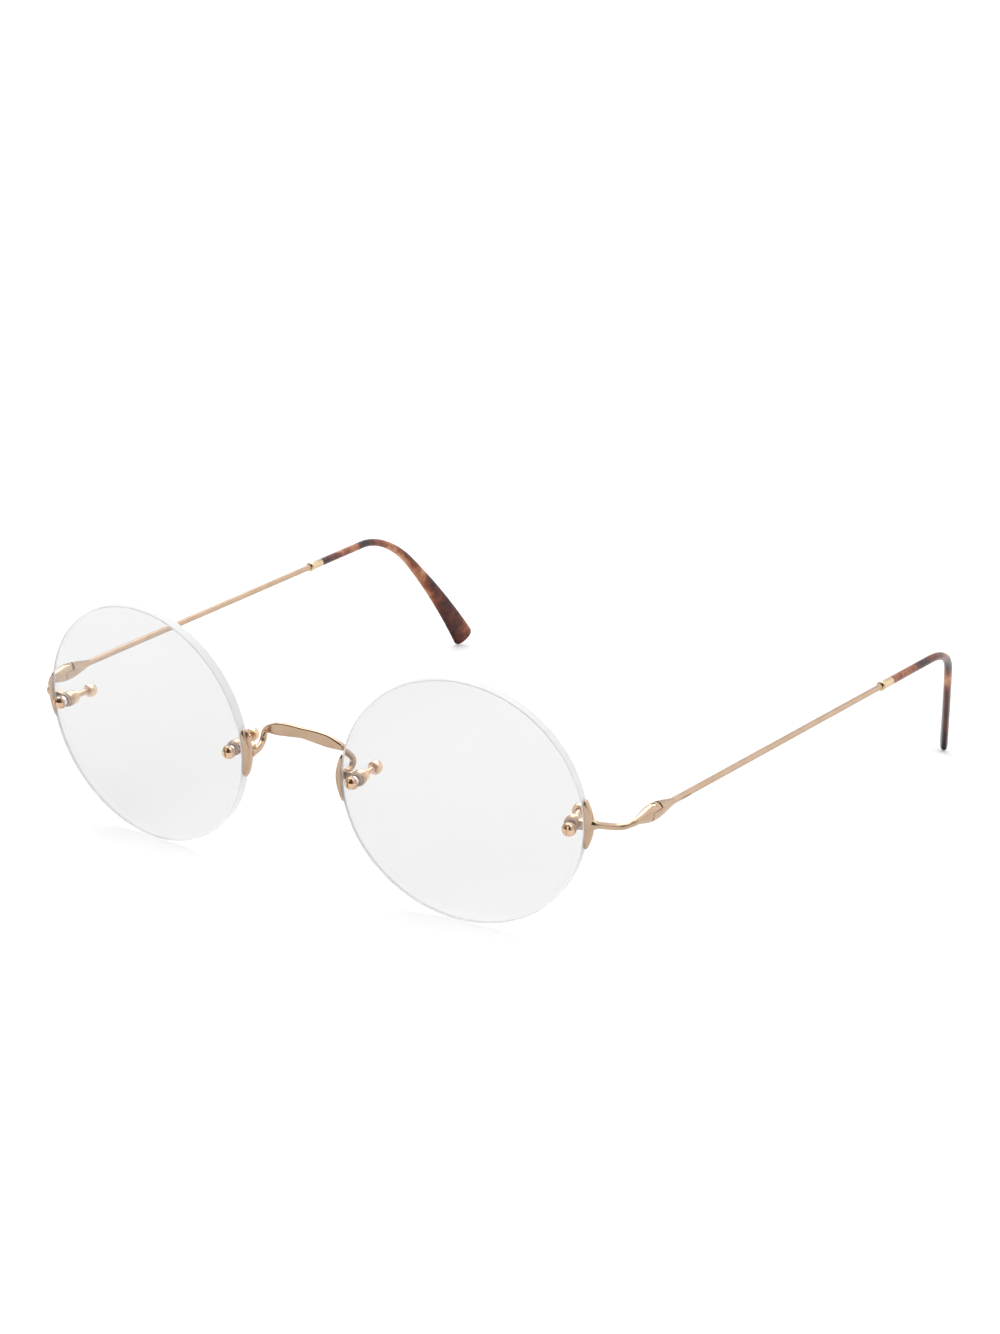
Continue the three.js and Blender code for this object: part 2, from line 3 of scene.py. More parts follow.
import bpy
from mathutils import Matrix, Vector


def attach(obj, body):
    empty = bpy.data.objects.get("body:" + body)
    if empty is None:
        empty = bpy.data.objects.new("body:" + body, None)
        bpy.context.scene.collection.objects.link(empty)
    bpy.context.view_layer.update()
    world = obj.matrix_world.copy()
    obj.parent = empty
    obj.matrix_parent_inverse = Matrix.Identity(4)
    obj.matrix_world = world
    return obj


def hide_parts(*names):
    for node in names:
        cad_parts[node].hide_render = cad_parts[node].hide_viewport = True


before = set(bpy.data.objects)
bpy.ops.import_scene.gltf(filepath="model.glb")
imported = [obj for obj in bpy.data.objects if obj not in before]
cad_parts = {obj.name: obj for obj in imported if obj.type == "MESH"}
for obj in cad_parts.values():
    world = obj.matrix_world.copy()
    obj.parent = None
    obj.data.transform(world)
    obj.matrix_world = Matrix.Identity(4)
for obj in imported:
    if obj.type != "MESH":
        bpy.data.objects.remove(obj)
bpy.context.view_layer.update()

# Lengths are in millimetres and become metres when a mesh is made.
MM = 0.001

# Lenses
LENS_RADIUS = 22
LENS_THICKNESS = 2
LENS_FRONT_CURVE = 132
LENS_BACK_CURVE = LENS_FRONT_CURVE - LENS_THICKNESS
LENS_SPACING = 63.8
LENS_TILT = math.radians(10.4)
LENS_WRAP = math.radians(5.3)
EDGE_CHAMFER = 0.15
EDGE_BAND = 1
FACE_FLATNESS = 0.93
LENS_SEGMENTS = 192
LENS_TOP = 43
EDGE_FADE_LOW = 24
EDGE_FADE_HIGH = 40
HOLE_OFFSET = 19.6
LENS_HOLE_RADIUS = 0.84

# Clamped stack, along the screw from the lens's front surface
GAP = 0.04
BORE_RADIUS = 0.56
SCREW_RADIUS = 0.5
SCREW_END = -8
HEAD_RADIUS = 1.2
HEAD_HEIGHT = 1
HEAD_SEAT = 0.38
HEAD_SLOT_WIDTH = 0.34
HEAD_SLOT_DEPTH = 0.42
THREAD_DEPTH = 0.055
THREAD_PITCH = 0.25
THREAD_TOP = -4.4
PLAIN_BOTTOM = -4.6
SLEEVE_RADIUS = 0.78
RING_CORNER = 0.11
WASHER_RADIUS = 1.25
WASHER_THICKNESS = 0.3
BACK_WASHER_TOP = -LENS_THICKNESS - GAP
LUG_TOP = BACK_WASHER_TOP - WASHER_THICKNESS - GAP
LUG_BOTTOM = LUG_TOP - 0.8
LUG_RADIUS = 1.35
LUG_HALF_WIDTH = 0.8
LUG_REACH = 1
LUG_CORNER_WIDTH = 0.6
LUG_CORNER_HEIGHT = 1.8
NUT_TOP = LUG_BOTTOM - GAP
NUT_BOTTOM = NUT_TOP - 1.1
NUT_RADIUS = 1.2
NUT_FACE_RADIUS = 1.0
NUT_CHAMFER = 0.13
COLLAR_RADIUS = 0.85
COLLAR_BOTTOM = NUT_BOTTOM - 0.35
CAP_FRONT = -6.85
CAP_BACK = -8.75
CAP_RADIUS = 1.2

# Edge plates
PLATE_LENGTH = 8.9
PLATE_HALF_WIDTH = 0.95
PLATE_THICKNESS = 1.05
PLATE_END_THICKNESS = 0.5
PLATE_RAISE = {"temporal": 0.6, "nasal": -0.2}
PLATE_ROUNDNESS = 2.35

# Bridge
WIRE_RADIUS = 0.58
BAND_HALF_WIDTH = 1.14
BAND_HALF_THICKNESS = 0.42
BAND_HALF_SPAN = 7.6
BAND_ROUNDNESS = 4.5
BAND_WAIST = 0.2
BAND_WAIST_REACH = 2.2
ARM_FLARE = 0.35
ARM_FLARE_LENGTH = 1.6
BRIDGE_VOXEL = 0.05
BLEND_PASSES = 6

# Stems
STEM_FLARE_LENGTH = 2.2
STEM_FLARE_HEIGHT = 0.75
STEM_FLARE_WIDTH = 0.25
STEM_NOSE_LENGTH = 2.5
STEM_NOSE_GROWTH = 0.12
STEM_END_TAPER = 0.3
END_PIECE_VOXEL = 0.04

# Hinge and temple
PIN_PLACE = Vector((59.8, 14.4, 22.94))
TEMPLE_SPLAY = math.radians(3.3)
TEMPLE_RISE = math.radians(2.7)
FOLD_DROP = math.radians(2)
SPINDLE_FRONT = -5.6
SPINDLE_BACK = 6.9
SPINDLE_PEAK = 0.2
SPINDLE_HALF_HEIGHT = 1.55
SPINDLE_HALF_WIDTH = 1.2
SPINDLE_FULLNESS = 1.35
LEAF_RADIUS = 1.18
LEAF_SPLIT = 0.5
LEAF_GAP = 0.05
SLIT_FRONT = 1.14
SLIT_GAP = 0.42
SLIT_SLANT = math.radians(15)
NOTCH_AHEAD_OF_PIN = 1.45
PIN_RADIUS = 0.45
PIN_HEAD_RADIUS = 0.68
PIN_HEAD_DEPTH = 0.5
PIN_CLEARANCE = 0.05
PIN_HEAD_CLEARANCE = 0.06
PIN_SUNK = 0.12
PIN_SLOT_WIDTH = 0.22
PIN_SLOT_DEPTH = 0.24
PIN_HEAD_SEAT = SPINDLE_HALF_HEIGHT - PIN_SUNK - PIN_HEAD_DEPTH
FERRULE_FRONT = 87.2
FERRULE_BACK = 91.9
FERRULE_RADIUS = 0.84
FERRULE_BEAD = 0.1
CORE_CLEARANCE = 0.06
CORE_RADIUS = 0.42
CORE_END = 106

# Tips
TIP_STRAIGHT = 17.9
BEND_RADIUS = 25.7
BEND_ANGLE = math.radians(44.5)
BEND_LENGTH = BEND_RADIUS * BEND_ANGLE
BEND_INWARD = math.radians(20)
DROP_LENGTH = 28.1
DROP_CURL = math.radians(10)
TIP_LENGTH = TIP_STRAIGHT + BEND_LENGTH + DROP_LENGTH
TIP_RADIUS = 0.8
PADDLE_HALF_WIDTH = 2.65
PADDLE_HALF_THICKNESS = 0.85
PADDLE_CORNER = 1.3
PADDLE_START = 0.42
PADDLE_ROUNDNESS = 2.4
TIP_SPOKES = 40
TIP_TONE = 0.46

# Camera and stage
FOCAL_LENGTH = 95.4
SENSOR_WIDTH = 36
CAMERA_PLACE = Vector((231.36, -360.38, 157.81))
CAMERA_RIGHT = Vector((0.86840, 0.49034, 0.07383))
CAMERA_UP = Vector((-0.19192, 0.19506, 0.96183))
FLOOR_HALF_WIDTH = 6000
FLOOR_DROP = 0.2

# MIDDLE is how far the front stands ahead of the middle of the glasses.
MIDDLE = 78.8
SIDES = {"left": 1, "right": -1}
PLACES = {"temporal": 0, "nasal": math.pi}
OVAL = 2
X, Y, Z = Vector((1, 0, 0)), Vector((0, 1, 0)), Vector((0, 0, 1))
MIRROR = Matrix.Diagonal((-1, 1, 1, 1))
WHITE = (1, 1, 1, 1)


# ---------------------------------------------------------------- maths

def clamp(x, low=0.0, high=1.0):
    return max(low, min(high, x))


def mix(a, b, t):
    return a + (b - a) * t


def smooth(x, low, high):
    t = clamp((x - low) / (high - low))
    return t * t * (3 - 2 * t)


def turn(angle, axis):
    return Matrix.Rotation(angle, 4, axis)


def sag(radius, curve):
    return curve - math.sqrt(curve ** 2 - radius ** 2)


LENS_SAG = sag(LENS_RADIUS, LENS_FRONT_CURVE)


def lens_frame():
    ahead = Vector((math.sin(LENS_WRAP), -math.cos(LENS_WRAP), 0))
    out = Vector((math.cos(LENS_WRAP), math.sin(LENS_WRAP), 0))
    up = Z * math.cos(LENS_TILT) + ahead * math.sin(LENS_TILT)
    front = out.cross(up)
    height = LENS_RADIUS * math.cos(LENS_TILT) - EDGE_CHAMFER * math.sin(LENS_TILT)
    made = Matrix((out, up, front)).transposed().to_4x4()
    made.translation = Vector((LENS_SPACING / 2, -MIDDLE, height))
    return made


def mount_frame(place):
    lean = math.asin(HOLE_OFFSET / LENS_FRONT_CURVE)
    height = LENS_SAG - sag(HOLE_OFFSET, LENS_FRONT_CURVE)
    shift = Matrix.Translation((HOLE_OFFSET, 0, height))
    return turn(PLACES[place], "Z") @ shift @ turn(lean, "Y")


LENS = lens_frame()
SHIFT = Matrix.Translation((0, -MIDDLE, 0))
HINGE = SHIFT @ Matrix.Translation(PIN_PLACE)
HINGE = HINGE @ turn(-TEMPLE_SPLAY, "Z") @ turn(TEMPLE_RISE + FOLD_DROP, "X")
IN_HINGE = turn(-FOLD_DROP, "X")
TEMPLE = HINGE @ IN_HINGE


# ---------------------------------------------------------------- shells

# A shell is a pair of lists, its points in millimetres and its faces.


def moved(shell, matrix):
    points, faces = shell
    return [matrix @ Vector(p) for p in points], faces


def joined(*shells):
    points, faces = [], []
    for more_points, more_faces in shells:
        base = len(points)
        points += more_points
        faces += [tuple(base + i for i in face) for face in more_faces]
    return points, faces


def loft(rows, closed=False):
    """Skins rows of points, each row a ring or a single point."""
    points, indices, faces = [], [], []
    for row in rows:
        indices.append(list(range(len(points), len(points) + len(row))))
        points += row
    pairs = list(zip(indices, indices[1:]))
    if closed:
        pairs.append((indices[-1], indices[0]))
    for low, high in pairs:
        count = max(len(low), len(high))
        for i in range(count):
            j = (i + 1) % count
            ring = [low[i % len(low)], low[j % len(low)], high[j % len(high)], high[i % len(high)]]
            faces.append(tuple(dict.fromkeys(ring)))
    return points, faces


def lathe(profile, segments=48, closed=False):
    """Turns [radius, height] pairs, listed upwards along the outside, about Z."""
    rows = []
    for radius, height in profile:
        if radius < 1e-9:
            rows.append([Vector((0, 0, height))])
            continue
        angles = [2 * math.pi * i / segments for i in range(segments)]
        rows.append([Vector((radius * math.cos(a), radius * math.sin(a), height)) for a in angles])
    return loft(rows, closed)


def rod(radius, bottom, top, segments=64):
    return lathe([(0, bottom), (radius, bottom), (radius, top), (0, top)], segments)


def box(low, high):
    low, high = Vector(low), Vector(high)
    corners = [(-1, -1), (1, -1), (1, 1), (-1, 1)]
    centre, half = (low + high) / 2, (high - low) / 2
    rows = [
        [Vector((centre.x + sx * half.x, centre.y + sy * half.y, z)) for sx, sy in corners]
        for z in (low.z, high.z)
    ]
    points = rows[0] + rows[1]
    faces = [(3, 2, 1, 0), (4, 5, 6, 7)]
    faces += [(i, (i + 1) % 4, 4 + (i + 1) % 4, 4 + i) for i in range(4)]
    return points, faces


def arc(radius, centre, start, end, steps):
    """[radius, height] pairs along an arc about a point of the axis."""
    angles = [mix(start, end, i / steps) for i in range(steps + 1)]
    return [(radius * math.sin(a), centre + radius * math.cos(a)) for a in angles]


def rounded(profile, radius, steps=4):
    """Rounds the corners of a closed profile of [radius, height] pairs."""
    made = []
    count = len(profile)
    for i, corner in enumerate(profile):
        here = Vector(corner)
        before, after = Vector(profile[i - 1]), Vector(profile[(i + 1) % count])
        start = here + (before - here).normalized() * min(radius, (before - here).length * 0.49)
        end = here + (after - here).normalized() * min(radius, (after - here).length * 0.49)
        for k in range(steps + 1):
            t = k / steps
            made.append(tuple(start * (1 - t) ** 2 + here * 2 * t * (1 - t) + end * t ** 2))
    return made


def sweep(place, heading, side, section, stops, around=32):
    """Skins a bar along a path. section(t) gives two half sizes and a roundness, 2 for an oval."""
    rows = []
    for t in stops:
        centre, along = place(t), heading(t).normalized()
        wide = side(t) - along * side(t).dot(along)
        wide.normalize()
        deep = wide.cross(along)
        half_wide, half_deep, power = section(t)
        row = []
        for i in range(around):
            angle = 2 * math.pi * i / around
            s, c = math.sin(angle), math.cos(angle)
            s = math.copysign(abs(s) ** (2 / power), s)
            c = math.copysign(abs(c) ** (2 / power), c)
            row.append(centre + wide * (s * half_wide) + deep * (c * half_deep))
        rows.append(row)
    ends = [[place(stops[0])], [place(stops[-1])]]
    return loft([ends[0], *rows, ends[1]])


def catmull(controls, samples=60):
    """A smooth path through the points: functions of the share of its length."""
    controls = [Vector(c) for c in controls]
    ends = [controls[0] * 2 - controls[1], *controls, controls[-1] * 2 - controls[-2]]
    points = []
    for p0, p1, p2, p3 in zip(ends, ends[1:], ends[2:], ends[3:]):
        d0, d1, d2 = ((b - a).length ** 0.5 for a, b in ((p0, p1), (p1, p2), (p2, p3)))
        m1 = ((p1 - p0) / d0 - (p2 - p0) / (d0 + d1) + (p2 - p1) / d1) * d1
        m2 = ((p2 - p1) / d1 - (p3 - p1) / (d1 + d2) + (p3 - p2) / d2) * d1
        for i in range(samples):
            t = i / samples
            h1, h2 = 2 * t ** 3 - 3 * t ** 2 + 1, t ** 3 - 2 * t ** 2 + t
            h3, h4 = 3 * t ** 2 - 2 * t ** 3, t ** 3 - t ** 2
            points.append(p1 * h1 + m1 * h2 + p2 * h3 + m2 * h4)
    points.append(controls[-1])
    runs = [0.0]
    for a, b in zip(points, points[1:]):
        runs.append(runs[-1] + (b - a).length)
    total = runs[-1]

    def place(t):
        run = clamp(t) * total
        low, high = 0, len(runs) - 1
        while high - low > 1:
            middle = (low + high) // 2
            if runs[middle] <= run:
                low = middle
            else:
                high = middle
        share = (run - runs[low]) / (runs[high] - runs[low])
        return points[low].lerp(points[high], share)

    def heading(t):
        return place(min(1, t + 0.004)) - place(max(0, t - 0.004))

    return place, heading, total


def even(count):
    return [i / count for i in range(count + 1)]


def towards_ends(count):
    return [0.5 - 0.5 * math.cos(math.pi * t) for t in even(count)]


# ---------------------------------------------------------------- meshes

def mesh_of(shell):
    """A mesh in millimetres."""
    points, faces = shell
    mesh = bpy.data.meshes.new("work")
    mesh.from_pydata([tuple(p) for p in points], [], faces)
    mesh.validate()
    mesh.update()
    return mesh


def worked(mesh, *steps):
    """The mesh after modifiers, each given as (type, settings)."""
    thing = bpy.data.objects.new("work", mesh)
    bpy.context.scene.collection.objects.link(thing)
    for kind, settings in steps:
        modifier = thing.modifiers.new(kind, kind)
        for key, value in settings.items():
            setattr(modifier, key, value)
    graph = bpy.context.evaluated_depsgraph_get()
    made = bpy.data.meshes.new_from_object(thing.evaluated_get(graph), depsgraph=graph)
    bpy.data.objects.remove(thing)
    return made


def bevelled(mesh, width, angle):
    """The mesh with its edges sharper than the angle rounded a little."""
    settings = {
        "width": width, "segments": 2,
        "limit_method": "ANGLE", "angle_limit": math.radians(angle),
    }
    return worked(mesh, ("BEVEL", settings))


def cut(mesh, tool, operation):
    """Exact boolean of two meshes in millimetres."""
    other = bpy.data.objects.new("tool", tool)
    bpy.context.scene.collection.objects.link(other)
    made = worked(mesh, ("BOOLEAN", {"operation": operation, "solver": "EXACT", "object": other}))
    bpy.data.objects.remove(other)
    return made


def union(first, *rest):
    for more in rest:
        first = cut(first, more, "UNION")
    return first


def minus(first, *rest):
    for more in rest:
        first = cut(first, more, "DIFFERENCE")
    return first


def blended(meshes, voxel, passes):
    """One even skin over overlapping closed meshes, with small fillets at their inner corners."""
    shells = [
        ([v.co.copy() for v in mesh.vertices], [tuple(p.vertices) for p in mesh.polygons])
        for mesh in meshes
    ]
    return worked(
        mesh_of(joined(*shells)),
        ("REMESH", {"mode": "VOXEL", "voxel_size": voxel}),
        ("SMOOTH", {"factor": 0.5, "iterations": passes}),
    )


def piece(name, mesh, side, node, body, slot, materials, sharp=40):
    """Makes a piece of a mesh: mirrors it for the right side, and binds it to the frame."""
    if side == "right":
        mesh.transform(MIRROR)
        mesh.flip_normals()
    mesh.transform(Matrix.Scale(MM, 4))
    for material in materials:
        mesh.materials.append(material)
    mesh.shade_smooth()
    if sharp:
        mesh.set_sharp_from_angle(angle=math.radians(sharp))
    mesh.name = name
    thing = bpy.data.objects.new(name, mesh)
    bpy.context.scene.collection.objects.link(thing)
    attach(thing, body)
    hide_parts(node)


# ---------------------------------------------------------------- materials

def grey(value):
    return value, value, value


class Nodes:
    """The node tree of a material or a world under construction."""

    def __init__(self, owner, output):
        self.owner = owner
        self.owner.use_nodes = True
        self.tree = self.owner.node_tree
        self.tree.nodes.clear()
        self.output = self.add(output)

    def add(self, kind, inputs=None, **settings):
        node = self.tree.nodes.new("ShaderNode" + kind)
        for key, value in settings.items():
            setattr(node, key, value)
        for key, value in (inputs or {}).items():
            if isinstance(value, bpy.types.NodeSocket):
                self.tree.links.new(value, node.inputs[key])
            else:
                node.inputs[key].default_value = value
        return node

    def ramp(self, factor, *stops):
        node = self.add("ValToRGB", {"Fac": factor})
        band = node.color_ramp
        while len(band.elements) < len(stops):
            band.elements.new(0.5)
        for element, (place, colour) in zip(band.elements, stops):
            element.position = place
            element.color = (*colour, 1)
        return node.outputs["Color"]

    def maths(self, first, second, operation="ADD"):
        return self.add("Math", {0: first, 1: second}, operation=operation).outputs[0]

    def noise(self, vector, scale, detail=3.0, roughness=0.5, distortion=0.0):
        inputs = {
            "Vector": vector, "Scale": scale, "Detail": detail,
            "Roughness": roughness, "Distortion": distortion,
        }
        return self.add("TexNoise", inputs).outputs["Fac"]

    def ranged(self, value, low, high, start=0.0, end=1.0, **settings):
        inputs = {"Value": value, "From Min": start, "From Max": end, "To Min": low, "To Max": high}
        return self.add("MapRange", inputs, **settings).outputs["Result"]

    def mixed(self, share, first, second):
        return self.add("MixShader", {0: share, 1: first, 2: second}).outputs["Shader"]

    def bump(self, height, strength, distance):
        inputs = {"Strength": strength, "Distance": distance, "Height": height}
        return self.add("Bump", inputs).outputs["Normal"]

    def finish(self, shader):
        self.tree.links.new(shader, self.output.inputs["Surface"])
        return self.owner


def material_nodes(name):
    """The nodes of a new material, and where on the object each point lies."""
    n = Nodes(bpy.data.materials.new(name), "OutputMaterial")
    return n, n.add("TexCoord").outputs["Object"]


def metal(name, dark, light, rough, grain, relief):
    """Plated metal: slow tone changes, a fine satin grain in roughness and bump."""
    n, spot = material_nodes(name)
    tone = n.ramp(n.noise(spot, 260, 4), (0.3, dark), (0.7, light))
    fine = n.noise(spot, grain, 3, 0.6)
    shader = n.add("BsdfPrincipled", {
        "Base Color": tone, "Metallic": 1.0, "Roughness": n.ranged(fine, *rough, 0.3, 0.7),
        "Normal": n.bump(fine, relief, 0.00002),
    })
    return n.finish(shader.outputs["BSDF"])


def lets_light_by(n, shader, share=1.0):
    """Adds what lamps see of glass: little that stops their light."""
    path = n.add("LightPath").outputs["Is Shadow Ray"]
    clear = n.add("BsdfTransparent", {"Color": (*grey(share), 1)}).outputs["BSDF"]
    return n.mixed(path, shader, clear)


def lens_glass():
    """Clear lens with a faint grey tint, deeper towards the floor."""
    n, spot = material_nodes("lens_glass")
    height = n.add("SeparateXYZ", {0: spot}).outputs["Z"]
    down = n.ranged(height, 1, 0, 0, LENS_TOP * MM)
    cloud = n.ranged(n.noise(spot, 60, 2), -0.06, 0.06, 0.3, 0.7)
    film = n.ramp(n.maths(down, cloud), (0, grey(0.91)), (1, grey(0.87)))
    shader = n.add("BsdfPrincipled", {
        "Base Color": film, "Roughness": 0.0, "IOR": 1.58, "Transmission Weight": 1.0,
    })
    return n.finish(lets_light_by(n, shader.outputs["BSDF"]))


def lens_edge():
    """The ground edge of a lens: fine grinding marks, and light that seeps through."""
    n, spot = material_nodes("lens_edge")
    relief = n.bump(n.noise(spot, 9000, 2, 0.6), 0.3, 0.00002)
    height = n.add("SeparateXYZ", {0: spot}).outputs["Z"]
    up = n.ranged(height, 0, 1, EDGE_FADE_LOW * MM, EDGE_FADE_HIGH * MM)
    cloud = n.ranged(n.noise(spot, 300, 3), -0.1, 0.1, 0.3, 0.7)
    tone = n.ramp(n.maths(up, cloud), (0, grey(0.98)), (1, grey(0.97)))
    frosted = n.add("BsdfPrincipled", {
        "Base Color": tone, "Roughness": 0.55, "IOR": 1.5, "Specular IOR Level": 0.2, "Normal": relief,
    }).outputs["BSDF"]
    through = n.add("BsdfTranslucent", {"Color": tone}).outputs["BSDF"]
    return n.finish(lets_light_by(n, n.mixed(0.28, frosted, through), 0.8))


def clear_plastic():
    """Clear washers and sleeves, with a warm peach colour painted in: a painted reflection of the gold
    metal around them, which also keeps them from looking grey in their shade.
    """
    n, spot = material_nodes("clear_plastic")
    # Painted reflection: this peach base colour stands in for the warm light that the gold around the
    # washers reflects onto them.
    tone = n.ramp(n.noise(spot, 1500, 2), (0.3, (1.0, 0.76, 0.64)), (0.7, (1.0, 0.85, 0.75)))
    shader = n.add("BsdfPrincipled", {
        "Base Color": tone, "Roughness": 0.06, "IOR": 1.49, "Transmission Weight": 0.45,
    })
    return n.finish(lets_light_by(n, shader.outputs["BSDF"]))


def tortoise():
    """Mottled acetate. The mesh attribute tone says where it is light or dark."""
    n, spot = material_nodes("tortoise")
    cloud = n.noise(spot, 330, 4, 0.55, 0.6)
    speck = n.noise(spot, 1500, 3, 0.6)
    base = n.add("Attribute", attribute_name="tone").outputs["Fac"]
    slow = n.ranged(cloud, -0.5, 0.5, 0.25, 0.75)
    fast = n.ranged(speck, -0.12, 0.12, 0.3, 0.7)
    shift = n.maths(n.maths(slow, fast), 0.42, "MULTIPLY")
    colour = n.ramp(
        n.maths(base, shift),
        (0.0, (0.012, 0.003, 0.005)),
        (0.2, (0.040, 0.010, 0.010)),
        (0.42, (0.125, 0.026, 0.014)),
        (0.6, (0.26, 0.070, 0.032)),
        (0.78, (0.50, 0.20, 0.095)),
        (1.0, (0.74, 0.42, 0.27)),
    )
    shader = n.add("BsdfPrincipled", {
        "Base Color": colour, "Roughness": n.ranged(speck, 0.14, 0.22, 0.3, 0.7),
        "Normal": n.bump(speck, 0.05, 0.00003), "IOR": 1.45, "Specular IOR Level": 0.4,
    })
    return n.finish(shader.outputs["BSDF"])


SATIN = metal("satin_gold", (0.54, 0.383, 0.262), (0.615, 0.443, 0.313), (0.16, 0.24), 5200, 0.15)
POLISHED = metal("polished_gold", (0.78, 0.54, 0.36), (0.86, 0.61, 0.42), (0.05, 0.11), 4000, 0.06)
PALE = metal("pale_gold", (0.72, 0.53, 0.33), (0.80, 0.62, 0.42), (0.12, 0.2), 4200, 0.1)
GLASS = lens_glass()
EDGE = lens_edge()
PLASTIC = clear_plastic()
TORTOISE = tortoise()


# ---------------------------------------------------------------- lenses

def lens_mesh():
    centre = LENS_SAG - LENS_FRONT_CURVE
    inner = LENS_RADIUS - EDGE_CHAMFER
    reach = [math.asin(inner / curve) for curve in (LENS_BACK_CURVE, LENS_FRONT_CURVE)]
    back = arc(LENS_BACK_CURVE, centre, 0, reach[0], 24)
    front = arc(LENS_FRONT_CURVE, centre, reach[1], 0, 24)
    low, high = -LENS_THICKNESS + EDGE_CHAMFER, -EDGE_CHAMFER
    rim = [(LENS_RADIUS, mix(low, high, i / 6)) for i in range(7)]
    made = mesh_of(lathe([*back, *rim, *front], LENS_SEGMENTS))
    for place in PLACES:
        hole = moved(rod(LENS_HOLE_RADIUS, -LENS_THICKNESS - 1, 1), mount_frame(place))
        made = minus(made, mesh_of(hole))
    return made


def build_lens(side):
    made = lens_mesh()
    for polygon in made.polygons:
        outside = polygon.center.xy.length > LENS_RADIUS - EDGE_BAND
        slanted = abs(polygon.normal.z) < FACE_FLATNESS
        polygon.material_index = 1 if outside and slanted else 0
    made.transform(LENS)
    piece(f"lens_glass_{side}", made, side, f"lens_{side}", "front", "lens", [GLASS, EDGE], 25)


# ---------------------------------------------------------------- lens mounts

def thread(radius, depth, pitch, bottom, top, segments=32, rows_per_turn=10):
    """A threaded rod with its thread running out at both ends."""
    count = max(2, int((top - bottom) / pitch * rows_per_turn))
    rows = [[Vector((0, 0, bottom))]]
    for k in range(count + 1):
        z = mix(bottom, top, k / count)
        fade = min(1, (z - bottom) / pitch, (top - z) / pitch)
        row = []
        for i in range(segments):
            angle = 2 * math.pi * i / segments
            phase = (z / pitch - i / segments) % 1
            valley = 0.5 + 0.5 * math.cos(2 * math.pi * phase)
            r = radius - depth * valley * fade
            if z - bottom < 0.1:
                r -= 0.1 - (z - bottom)
            row.append(Vector((r * math.cos(angle), r * math.sin(angle), z)))
        rows.append(row)
    rows.append([Vector((0, 0, top))])
    return loft(rows)


def screw_mesh():
    """A slotted domed head, a plain shank inside the lens and a threaded end."""
    centre = HEAD_SEAT + HEAD_HEIGHT - HEAD_RADIUS
    start = math.acos((HEAD_SEAT - centre) / HEAD_RADIUS)
    dome = arc(HEAD_RADIUS, centre, start, 0, 20)
    edge = dome[0]
    steps = ((-0.12, 0), (-0.04, 0.015), (0.005, 0.06))
    soft = [(edge[0] + out, HEAD_SEAT + up) for out, up in steps]
    dome = [p for p in dome if p[1] > HEAD_SEAT + 0.1]
    head = lathe([(0, HEAD_SEAT), (SCREW_RADIUS, HEAD_SEAT), *soft, *dome], 64)
    floor = HEAD_SEAT + HEAD_HEIGHT - HEAD_SLOT_DEPTH
    half = HEAD_SLOT_WIDTH / 2
    slot = box((-half, -2, floor), (half, 2, floor + 2))
    made = minus(mesh_of(head), mesh_of(slot))
    made = bevelled(made, 0.035, 50)
    plain = rod(SCREW_RADIUS, PLAIN_BOTTOM, HEAD_SEAT + 0.05, 32)
    shank = thread(SCREW_RADIUS, THREAD_DEPTH, THREAD_PITCH, SCREW_END, THREAD_TOP)
    return union(made, mesh_of(plain), mesh_of(shank))


def ring_mesh(outer, bottom, top, corner):
    corners = [(BORE_RADIUS, bottom), (outer, bottom), (outer, top), (BORE_RADIUS, top)]
    return mesh_of(lathe(rounded(corners, corner), 64, closed=True))


def nut_mesh():
    """A hexagonal nut with chamfered corners and a round collar behind it."""
    hexagon = rod(NUT_RADIUS, NUT_BOTTOM, NUT_TOP, 6)
    chamfer = lathe([
        (0, NUT_BOTTOM), (NUT_FACE_RADIUS, NUT_BOTTOM), (NUT_RADIUS, NUT_BOTTOM + NUT_CHAMFER),
        (NUT_RADIUS, NUT_TOP - NUT_CHAMFER), (NUT_FACE_RADIUS, NUT_TOP), (0, NUT_TOP),
    ], 96)
    made = cut(mesh_of(hexagon), mesh_of(chamfer), "INTERSECT")
    collar = lathe([
        (0, COLLAR_BOTTOM), (COLLAR_RADIUS - 0.07, COLLAR_BOTTOM), (COLLAR_RADIUS, COLLAR_BOTTOM + 0.07),
        (COLLAR_RADIUS, NUT_BOTTOM + 0.2), (0, NUT_BOTTOM + 0.2),
    ], 48)
    bore = rod(BORE_RADIUS, NUT_BOTTOM - 1, NUT_TOP + 1, 48)
    made = minus(union(made, mesh_of(collar)), mesh_of(bore))
    return bevelled(made, 0.025, 28)


def cap_mesh():
    """The domed cap nut over the end of the screw."""
    centre = CAP_BACK + CAP_RADIUS
    ball = arc(CAP_RADIUS, centre, math.pi, math.pi / 2, 16)
    mouth = [
        (CAP_RADIUS, CAP_FRONT - 0.22), (CAP_RADIUS - 0.05, CAP_FRONT - 0.08),
        (CAP_RADIUS - 0.2, CAP_FRONT), (BORE_RADIUS + 0.06, CAP_FRONT),
    ]
    floor = SCREW_END - 0.1
    bore = [(BORE_RADIUS, CAP_FRONT - 0.06), (BORE_RADIUS, floor), (0, floor)]
    return mesh_of(lathe([*ball, *mouth, *bore], 64))


